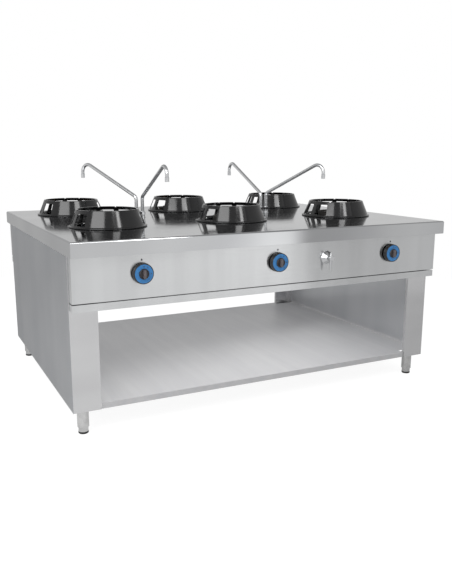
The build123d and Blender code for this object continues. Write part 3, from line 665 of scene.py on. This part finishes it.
def knob_skirt(bm, matrix):
    """The black skirt, hollow at the back, with a groove for the inlay and a seat for the grip."""
    turned(bm, rounded([
        (0, SKIRT_HOLLOW), (SKIRT_HOLLOW_R, SKIRT_HOLLOW), (SKIRT_MOUTH_R, KNOB_BACK),
        (KNOB_R, KNOB_BACK), (KNOB_R, SKIRT_EDGE), (FACE_R, KNOB_FACE),
        (INLAY_R + INLAY_GAP, KNOB_FACE), (INLAY_R + INLAY_GAP, INLAY_SEAT),
        (GRIP_SEAT_R, INLAY_SEAT), (GRIP_SEAT_R, GRIP_SEAT), (0, GRIP_SEAT),
    ], 1.4, 3), KNOB_SIDES, matrix)


def knob_inlay(bm, matrix):
    """The blue ring in the skirt's groove."""
    turned(bm, rounded([
        (INLAY_BORE_R, INLAY_SEAT), (INLAY_R, INLAY_SEAT), (INLAY_R, INLAY_OUT),
        (INLAY_BORE_R, INLAY_OUT), (INLAY_BORE_R, INLAY_SEAT),
    ], 0.7, 3), KNOB_SIDES, matrix)


def knob_grip(bm, matrix):
    """The round grip, with a dished face."""
    profile = rounded([
        (0, GRIP_SEAT + 0.3), (GRIP_R + GRIP_FLARE, GRIP_SEAT + 0.3),
        (GRIP_R + GRIP_FLARE, 27.5), (GRIP_R, 30), (GRIP_R - 1.5, GRIP_OUT),
        (GRIP_R - 3, GRIP_OUT), (GRIP_R - 5, GRIP_OUT - DISH_DEPTH), (0, GRIP_OUT - DISH_DEPTH),
    ], 0.8, 3)
    turned(bm, profile, KNOB_SIDES, matrix)


def knob_bar(bm, matrix):
    """The bar across the grip, which the fingers turn."""
    half_width, half_length, corner = 5.8, 18.6, 4.2
    outline = []
    for sx, sy, start in ((1, 1, 0), (-1, 1, 90), (-1, -1, 180), (1, -1, 270)):
        for step in range(5):
            turn = radians(start + 22.5 * step)
            outline.append((
                sx * (half_width - corner) + corner * cos(turn),
                sy * (half_length - corner) + corner * sin(turn),
            ))
    layers = []
    ends = [(BAR_OUT - back, inset) for back, inset in BAR_EASE]
    for out, inset in [(BAR_FOOT, 0.0)] + ends:
        layers.append([
            bm.verts.new((
                x * (1 - inset / half_width) * MM, y * (1 - inset / half_length) * MM, out * MM
            ))
            for x, y in outline
        ])
    for lower, upper in zip(layers, layers[1:]):
        for step in range(len(outline)):
            after = (step + 1) % len(outline)
            bm.faces.new((lower[step], lower[after], upper[after], upper[step]))
    bm.faces.new(layers[0][::-1])
    bm.faces.new(layers[-1])
    bmesh.ops.transform(bm, matrix=matrix, verts=[vert for layer in layers for vert in layer])


def flat_mark(bm, matrix, x, y, width, height, out, thickness=0.25, turn=0.0):
    """A printed mark: a thin plate with its middle at (x, y), turned by turn degrees."""
    made = bmesh.ops.create_cube(bm, size=1.0)["verts"]
    local = Matrix.Translation((x * MM, y * MM, out * MM)) @ Matrix.Rotation(radians(turn), 4, "Z")
    local = local @ Matrix.Diagonal((width * MM, height * MM, thickness * MM, 1))
    bmesh.ops.transform(bm, matrix=matrix @ local, verts=made)


# The marks on the inlay, as the angle from 12 o'clock, the width and the height.
INLAY_MARKS = ((0, 2.6, 7.0), (28, 4.6, 3.0), (90, 4.0, 5.2), (138, 3.4, 3.4), (151, 2.2, 2.2))
MARK_RADIUS = 31.5


def inlay_marks(bm, matrix):
    for clock, width, height in INLAY_MARKS:
        turn = radians(clock)
        flat_mark(
            bm, matrix, MARK_RADIUS * sin(turn), MARK_RADIUS * cos(turn), width, height,
            INLAY_OUT + 0.1, turn=-clock,
        )


def made_piece(name, build, matrix, material, smooth=SMOOTH_ANGLE):
    bm = bmesh.new()
    build(bm, matrix)
    outward(bm)
    return mesh_object(name, bm, material, smooth)


for row, column in PLACES:
    place = f"{row}_{column}"
    centre = middle_of(f"knob_{place}")
    facing = toward_cook(row, centre.x, KNOB_HEIGHT)
    body = f"knob_{place}"
    skirt = made_piece(f"knob_skirt_{place}", knob_skirt, facing, knob_black)
    settle(skirt, body, "knob_black", f"knob_{place}")
    inlay = made_piece(f"knob_inlay_{place}", knob_inlay, facing, knob_blue)
    settle(inlay, body, "knob_blue", f"knob_ring_{place}")
    grip = made_piece(f"knob_grip_{place}", knob_grip, facing, knob_grip_painted_shade)
    settle(grip, body, "knob_black")
    bar = made_piece(f"knob_bar_{place}", knob_bar, facing, knob_bar_painted_highlight)
    settle(bar, body, "knob_black")
    marks = made_piece(f"knob_marks_{place}", inlay_marks, facing, print_black)
    settle(marks, body, "knob_black")

# The flame mark on the panel above each knob.
FLAME_UP = 57.0
FLAME_WIDTH = 9.0
FLAME_HEIGHT = 10.0
FLAME_POINTS = 20
FLAME_BACK, FLAME_FRONT = -0.1, 0.2
# How full the drop is, and how sharply it narrows upward.
FLAME_FULLNESS = 0.62
FLAME_TAPER = 1.5


def panel_index(bm, matrix):
    """A printed drop shape, round below and pointed above, 0.3 mm thick."""
    layers = []
    for out in (FLAME_BACK, FLAME_FRONT):
        layer = []
        for step in range(FLAME_POINTS):
            turn = 2 * pi * step / FLAME_POINTS
            wide = sin(turn) * abs(sin(turn / 2)) ** FLAME_TAPER * FLAME_WIDTH * FLAME_FULLNESS
            high = FLAME_UP + cos(turn) * FLAME_HEIGHT / 2
            layer.append(bm.verts.new(matrix @ Vector((wide * MM, high * MM, out * MM))))
        layers.append(layer)
    for step in range(FLAME_POINTS):
        after = (step + 1) % FLAME_POINTS
        bm.faces.new((layers[0][step], layers[0][after], layers[1][after], layers[1][step]))
    bm.faces.new(layers[0][::-1])
    bm.faces.new(layers[1])


for row, column in PLACES:
    centre = middle_of(f"knob_{row}_{column}")
    facing = toward_cook(row, centre.x, KNOB_HEIGHT)
    index = made_piece(f"panel_index_{row}_{column}", panel_index, facing, print_black)
    settle(index, "frame", "knob_black")

# ---------------------------------------------------------------- swivel spouts
# The tube's line in mm as (reach, height over the worktop), and the radius of each bend.
SPOUT_LINE = ((0, 10), (0, 110), (380, 300), (380, 203))
SPOUT_BENDS = (26.0, 40.0)
SPOUT_R = 9.0
SPOUT_BORE = 7.2
BORE_DEPTH = 28.0
NOZZLE_R = 10.4
NOZZLE_LENGTH = 22.0
COLLAR_R = 11.5
COLLAR_LOW, COLLAR_HIGH = 30.4, 34.0
SPOUT_SIDES = 32


def filleted(points, radii, steps=12):
    """A line through the points with each inner corner turned on an arc, as (point, direction)."""
    points = [Vector((reach, 0, height)) for reach, height in points]
    line = [(points[0], (points[1] - points[0]).normalized())]
    for before, corner, after, radius in zip(points, points[1:], points[2:], radii):
        arrive, leave = (corner - before).normalized(), (after - corner).normalized()
        half = arrive.angle(leave) / 2
        centre = corner + (leave - arrive).normalized() * radius / cos(half)
        start = corner - arrive * radius * tan(half) - centre
        end = corner + leave * radius * tan(half) - centre
        for step in range(steps + 1):
            share = step / steps
            spoke = start.normalized().slerp(end.normalized(), share)
            line.append((centre + spoke * radius, arrive.slerp(leave, share)))
    return line + [(points[-1], (points[-1] - points[-2]).normalized())]


def spout_mesh(bm, matrix):
    line = filleted(SPOUT_LINE, SPOUT_BENDS)
    stations = [(point, along, SPOUT_R) for point, along in line[:-1]]
    end, down = line[-1]
    mouth = (
        (NOZZLE_LENGTH + 1, SPOUT_R), (NOZZLE_LENGTH, NOZZLE_R), (1, NOZZLE_R),
        (0, NOZZLE_R - 0.8), (0, SPOUT_BORE + 0.6), (0.6, SPOUT_BORE),
        (BORE_DEPTH, SPOUT_BORE),
    )
    stations += [(end - down * back, down, r) for back, r in mouth]
    side = Vector((0, 1, 0))
    rings = []
    for point, along, r in stations:
        up = side.cross(along)
        ring = []
        for step in range(SPOUT_SIDES):
            turn = 2 * pi * step / SPOUT_SIDES
            place = point + (side * cos(turn) + up * sin(turn)) * r
            ring.append(bm.verts.new(matrix @ (place * MM)))
        rings.append(ring)
    for lower, upper in zip(rings, rings[1:]):
        for step in range(SPOUT_SIDES):
            after = (step + 1) % SPOUT_SIDES
            bm.faces.new((lower[step], lower[after], upper[after], upper[step]))
    bm.faces.new(rings[0][::-1])
    bm.faces.new(rings[-1])
    turned(bm, rounded([
        (SPOUT_R - 0.6, COLLAR_LOW), (COLLAR_R, COLLAR_LOW), (COLLAR_R, COLLAR_HIGH),
        (SPOUT_R - 0.6, COLLAR_HIGH), (SPOUT_R - 0.6, COLLAR_LOW),
    ], 0.8, 2), 48, matrix)


def spout_place(node):
    """Where a spout's tube stands and the way it points, from its CAD node."""
    points = [vert.co for vert in frame["nodes"][node].data.vertices]
    bottom = min(point.z for point in points)
    foot = [point for point in points if point.z < bottom + MM]
    x, y = [(min(p[i] for p in foot) + max(p[i] for p in foot)) / 2 for i in (0, 1)]
    far = [p for p in points if hypot(p.x - x, p.y - y) > (SPOUT_LINE[-1][0] - SPOUT_R) * MM]
    heading = atan2(sum(p.y - y for p in far), sum(p.x - x for p in far))
    return Matrix.Translation((x, y, TOP)) @ Matrix.Rotation(heading, 4, "Z")


SPOUT_PREFIX = "spout_"
SPOUT_NODES = [
    name for name in frame["nodes"] if name.startswith(SPOUT_PREFIX) and name != "spout_bases"
]
for node in SPOUT_NODES:
    tube = made_piece(
        f"swivel_tube_{node[len(SPOUT_PREFIX):]}", spout_mesh, spout_place(node), steel_spout
    )
    settle(tube, node, "steel_tube", node)


# ---------------------------------------------------------------- turned and forged fittings
# In a copied solid, faces within the first angle are one, and edges over the second are eased.
FLAT_ANGLE = 1.0
EASED_ANGLE = 28.0


def eased(name, node, width, material, slot):
    """A merged copy of a CAD node with its edges eased, in the node's place."""
    bm = bmesh.new()
    bm.from_mesh(frame["nodes"][node].data)
    bmesh.ops.remove_doubles(bm, verts=bm.verts, dist=MERGE)
    bmesh.ops.dissolve_limit(
        bm, angle_limit=radians(FLAT_ANGLE), verts=bm.verts, edges=bm.edges,
        use_dissolve_boundaries=False,
    )
    made = softened(mesh_object(name, bm, material), width, angle=EASED_ANGLE)
    weighted = made.modifiers.new("shading", "WEIGHTED_NORMAL")
    weighted.keep_sharp = True
    applied(made)
    settle(made, frame["nodes"][node]["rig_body"], slot, node)


eased("polished_worktop", "worktop", 0.8, steel_top, "steel_polished")
eased("octagonal_rosettes", "valve_rosettes", 0.9, satin_chrome, "chrome")
eased("spout_sockets", "spout_bases", 0.6, chrome, "chrome")
for row in ROWS:
    eased(f"water_lever_{row}", f"valve_lever_{row}", 0.8, satin_chrome, "chrome")


# ---------------------------------------------------------------- small parts that repeat
def ring_of_parts():
    """A tree that stands a part round a circle, facing out, at each point of the mesh."""
    tree = bpy.data.node_groups.new("ring_of_parts", "GeometryNodeTree")
    for label, kind in (("Centres", "NodeSocketGeometry"), ("Part", "NodeSocketObject"),
                        ("Count", "NodeSocketInt"), ("Circle Radius", "NodeSocketFloat"),
                        ("Material", "NodeSocketMaterial")):
        tree.interface.new_socket(label, in_out="INPUT", socket_type=kind)
    tree.interface.new_socket("Parts", in_out="OUTPUT", socket_type="NodeSocketGeometry")
    given = add(tree, "NodeGroupInput").outputs
    circle = add(tree, "GeometryNodeMeshCircle", {
        "Vertices": given["Count"], "Radius": given["Circle Radius"],
    })
    part = add(tree, "GeometryNodeObjectInfo", {"Object": given["Part"]})
    outwards = add(tree, "FunctionNodeAlignRotationToVector", {
        "Vector": add(tree, "GeometryNodeInputPosition").outputs[0],
    }, axis="X")
    round_circle = add(tree, "GeometryNodeInstanceOnPoints", {
        "Points": circle.outputs[0], "Instance": part.outputs["Geometry"],
        "Rotation": outwards.outputs[0],
    })
    at_centres = add(tree, "GeometryNodeInstanceOnPoints", {
        "Points": given["Centres"], "Instance": round_circle.outputs[0],
    })
    solid = add(tree, "GeometryNodeRealizeInstances", {0: at_centres.outputs[0]})
    finished = add(tree, "GeometryNodeSetMaterial", {
        "Geometry": solid.outputs[0], "Material": given["Material"],
    })
    add(tree, "NodeGroupOutput", {0: finished.outputs[0]})
    return tree


RING_OF_PARTS = ring_of_parts()


def repeated(name, centres, part, count, radius, material):
    """The part repeated round each centre, as one plain mesh."""
    bm = bmesh.new()
    for centre in centres:
        bm.verts.new(centre)
    made = mesh_object(name, bm, material)
    modifier = made.modifiers.new("parts", "NODES")
    modifier.node_group = RING_OF_PARTS
    values = {"Part": part, "Count": count, "Circle Radius": radius * MM, "Material": material}
    for item in RING_OF_PARTS.interface.items_tree:
        if item.in_out == "INPUT" and item.name in values:
            modifier[item.identifier] = values[item.name]
    applied(made)
    bpy.data.objects.remove(part)
    made.data.shade_smooth()
    made.data.set_sharp_from_angle(angle=radians(SMOOTH_ANGLE))
    return made


SCREW_SIDES = 24
HEX_SOCKET_R = 2.4


def pan_screw():
    """A pan-head screw with a hexagonal socket, standing on Z = 0."""
    bm = bmesh.new()
    profile = [(0, -1), (4.6, -1), (4.8, 0.6), (4.2, 1.9), (3.2, 2.5), (2.9, 2.6), (0, 2.6)]
    sides = turned(bm, profile[:-1] + [(HEX_SOCKET_R, 2.6), (HEX_SOCKET_R, 1.0), (0, 1.0)],
                   SCREW_SIDES)
    for vert in sides:
        r = hypot(vert.co.x, vert.co.y)
        if abs(r - HEX_SOCKET_R * MM) < 1e-7:
            turn = atan2(vert.co.y, vert.co.x) % (pi / 3) - pi / 6
            stretch = cos(pi / 6) / cos(turn)
            vert.co.x *= stretch
            vert.co.y *= stretch
    outward(bm)
    return mesh_object("pan_screw", bm, steel_tube)


def port_tooth(length, width, height):
    """A tooth between two flame ports: narrower inwards, with eased upper edges."""
    bm = bmesh.new()
    corners = []
    for z, ease in ((-0.5, 0.0), (height - 0.6, 0.0), (height, 0.6)):
        corners.append([
            bm.verts.new((x * MM, y * MM, z * MM)) for x, y in (
                (-length / 2 + ease, -width * 0.4 + ease), (length / 2 - ease, -width / 2 + ease),
                (length / 2 - ease, width / 2 - ease), (-length / 2 + ease, width * 0.4 - ease),
            )
        ])
    for lower, upper in zip(corners, corners[1:]):
        for step in range(4):
            after = (step + 1) % 4
            bm.faces.new((lower[step], lower[after], upper[after], upper[step]))
    bm.faces.new(corners[0][::-1])
    bm.faces.new(corners[-1])
    return mesh_object("port_tooth", bm, iron)


def at_burners(height):
    """A point over the middle of each burner, height in mm over the worktop."""
    middles = [middle_of(f"wok_ring_{row}_{column}") for row, column in PLACES]
    return [(middle.x, middle.y, TOP + height * MM) for middle in middles]


FLANGE_TOP = 2.0
FLANGE_SCREW_R = 156.0
FLANGE_SCREWS = 6
flange_screws = repeated(
    "well_flange_screws", at_burners(FLANGE_TOP), pan_screw(), FLANGE_SCREWS, FLANGE_SCREW_R,
    steel_tube,
)
settle(flange_screws, "frame", "steel_tube")
# The teeth on each ridge of the burner head: how many, on what radius, how long and how high up.
RIDGES = (("outer", 40, 88.5, 11.0, 22.0), ("inner", 24, 55.0, 14.0, 18.0))
TOOTH_WIDTH = 8.0
TOOTH_HEIGHT = 3.0
for ridge, count, radius, length, top in RIDGES:
    teeth = repeated(
        f"burner_port_teeth_{ridge}", at_burners(top),
        port_tooth(length, TOOTH_WIDTH, TOOTH_HEIGHT), count, radius, iron,
    )
    settle(teeth, "frame", "iron_cast")

# ---------------------------------------------------------------- floor, light and camera
FLOOR_R = 3.4
floor_mesh = bmesh.new()
bmesh.ops.create_circle(floor_mesh, cap_ends=True, segments=96, radius=FLOOR_R)
floor_material, floor_tree, floor_surface = new_material("painted_studio_floor", Roughness=0.9)
floor_tree.links.new(
    tones(floor_tree, noise(floor_tree, 900.0), [(0.3, "#F2F2F2"), (0.7, "#F6F6F6")]),
    floor_surface.inputs["Base Color"],
)
# To the camera, and in metal, the floor is as pale as the backdrop, apart from a share that
# takes the shadow.
FLOOR_SHADOW = 0.18
FLOOR_GLOW = 1.1
floor_path = add(floor_tree, "ShaderNodeLightPath")
# In metal it darkens away from the lamps, toward the back right.
MIRRORED_NEAR, MIRRORED_FAR = 0.95, 0.55
floor_place = add(floor_tree, "ShaderNodeTexCoord")
away = add(floor_tree, "ShaderNodeVectorMath", {
    0: floor_place.outputs["Object"], 1: (1.0, 0.8, 0.0),
}, operation="DOT_PRODUCT")
mirrored_level = add(floor_tree, "ShaderNodeMapRange", {
    "Value": away.outputs["Value"], "From Min": -1.5, "From Max": 0.4,
    "To Min": MIRRORED_NEAR, "To Max": MIRRORED_FAR,
})
glow_level = add(floor_tree, "ShaderNodeMapRange", {
    "Value": floor_path.outputs["Is Glossy Ray"], "To Min": FLOOR_GLOW,
    "To Max": mirrored_level.outputs[0],
})
glow = add(floor_tree, "ShaderNodeEmission", {
    "Color": (1, 1, 1, 1), "Strength": glow_level.outputs[0],
})
white_floor = add(floor_tree, "ShaderNodeMixShader", {
    0: FLOOR_SHADOW, 1: glow.outputs[0], 2: floor_surface.outputs[0],
})


def either(tree, *values):
    """One if any of the values is one."""
    found = values[0]
    for value in values[1:]:
        found = add(tree, "ShaderNodeMath", {0: found, 1: value}, operation="MAXIMUM").outputs[0]
    return found


floor_mix = add(floor_tree, "ShaderNodeMixShader", {
    0: either(floor_tree, floor_path.outputs["Is Camera Ray"], floor_path.outputs["Is Glossy Ray"],
              floor_path.outputs["Is Transmission Ray"]),
    1: floor_surface.outputs[0], 2: white_floor.outputs[0],
})
floor_output = next(n for n in floor_tree.nodes if n.bl_idname == "ShaderNodeOutputMaterial")
floor_tree.links.new(floor_mix.outputs[0], floor_output.inputs["Surface"])
floor = mesh_object("studio_floor", floor_mesh, floor_material)

world = bpy.data.worlds.new("studio")
bpy.context.scene.world = world
world.use_nodes = True
sky = world.node_tree
sky.nodes.clear()
light_path = add(sky, "ShaderNodeLightPath")
backdrop = add(sky, "ShaderNodeBackground", {"Color": (1, 1, 1, 1), "Strength": 1.0})
# What the metal sees round it: pale studio walls. Each stop is a compass angle in degrees
# clockwise from the front, and the wall's level there.
WALLS = (
    (-180, 0.6), (-172, 0.5), (-160, 0.6), (-145, 0.95), (-110, 0.8), (-60, 0.84), (-10, 0.88),
    (15, 0.92), (26, 1.05), (32.2, 1.5), (33.0, 0.5), (38, 0.66), (44, 0.78), (110, 0.62),
    (150, 0.68), (180, 0.6),
)
WALL_SCALE = 1.5
CEILING_LEVEL = 0.84
ROOM_LEVEL = 0.8
direction = add(sky, "ShaderNodeTexCoord")
split = add(sky, "ShaderNodeSeparateXYZ", {0: direction.outputs["Generated"]})
toward_front = add(sky, "ShaderNodeMath", {0: split.outputs["Y"], 1: -1.0}, operation="MULTIPLY")
compass = add(sky, "ShaderNodeMath", {
    0: split.outputs["X"], 1: toward_front.outputs[0],
}, operation="ARCTAN2")
round_share = add(sky, "ShaderNodeMapRange", {
    "Value": compass.outputs[0], "From Min": -pi, "From Max": pi,
})
wall_ramp = add(sky, "ShaderNodeValToRGB", {"Fac": round_share.outputs[0]})
stops = wall_ramp.color_ramp.elements
while len(stops) < len(WALLS):
    stops.new(0.5)
for stop, (angle, wall_level) in zip(stops, WALLS):
    stop.position = angle / 360 + 0.5
    stop.color = [wall_level / WALL_SCALE] * 3 + [1.0]
# The walls fade up into a dimmer ceiling.
ceiling = add(sky, "ShaderNodeMapRange", {
    "Value": split.outputs["Z"], "From Min": 0.15, "From Max": 0.8, "To Min": WALL_SCALE,
    "To Max": CEILING_LEVEL,
})
walls = add(sky, "ShaderNodeBackground", {
    "Color": wall_ramp.outputs["Color"], "Strength": ceiling.outputs[0],
})
# Dull surfaces are lit by an even room.
room = add(sky, "ShaderNodeBackground", {"Color": (1, 1, 1, 1), "Strength": ROOM_LEVEL})
around = add(sky, "ShaderNodeMixShader", {
    0: light_path.outputs["Is Glossy Ray"], 1: room.outputs[0], 2: walls.outputs[0],
})
seen = add(sky, "ShaderNodeMixShader", {
    0: either(sky, light_path.outputs["Is Camera Ray"], light_path.outputs["Is Transmission Ray"]),
    1: around.outputs[0], 2: backdrop.outputs[0],
})
add(sky, "ShaderNodeOutputWorld", {"Surface": seen.outputs[0]})


def softbox(name, at, look_at, width, height, power):
    lamp = bpy.data.lights.new(name, "AREA")
    lamp.shape = "RECTANGLE"
    lamp.size = width
    lamp.size_y = height
    lamp.energy = power
    made = bpy.data.objects.new(name, lamp)
    bpy.context.scene.collection.objects.link(made)
    made.location = at
    made.rotation_mode = "QUATERNION"
    made.rotation_quaternion = (Vector(look_at) - Vector(at)).to_track_quat("-Z", "Y")
    made.visible_camera = False
    return made


softbox("key_softbox_left", (-3.6, -2.6, 3.3), (-0.6, 0.0, 0.9), 3.0, 2.5, 125)
softbox("strip_softbox_over_camera", (0.9, -4.0, 3.45), (0.0, 0.0, 0.9), 0.7, 1.3, 26)
softbox("high_softbox_over_camera", (0.4, -3.95, 4.65), (0.0, 0.0, 0.9), 1.7, 1.0, 38)
softbox("softbox_in_the_bay", (0.0, 0.0, 0.56), (0.0, 0.0, 0.0), 1.75, 1.2, 9.5)

CAMERA_AT = (-1.5465, -3.2861, 1.1846)
CAMERA_YAW = 0.46504
CAMERA_PITCH = -0.20737
CAMERA_ROLL = 0.0014
FOCAL_PIXELS = 656.69
FRAME_HEIGHT_PIXELS = 584
SENSOR = 36.0
camera_data = bpy.data.cameras.new("camera")
camera_data.sensor_fit = "AUTO"
camera_data.sensor_width = SENSOR
camera_data.lens = SENSOR * FOCAL_PIXELS / FRAME_HEIGHT_PIXELS
camera_data.clip_end = 200.0
camera = bpy.data.objects.new("camera", camera_data)
bpy.context.scene.collection.objects.link(camera)
camera.matrix_world = (
    Matrix.Translation(CAMERA_AT)
    @ Matrix.Rotation(-CAMERA_YAW, 4, "Z")
    @ Matrix.Rotation(pi / 2 + CAMERA_PITCH, 4, "X")
    @ Matrix.Rotation(CAMERA_ROLL, 4, "Z")
)
bpy.context.scene.camera = camera
bpy.context.scene.view_settings.view_transform = "Standard"
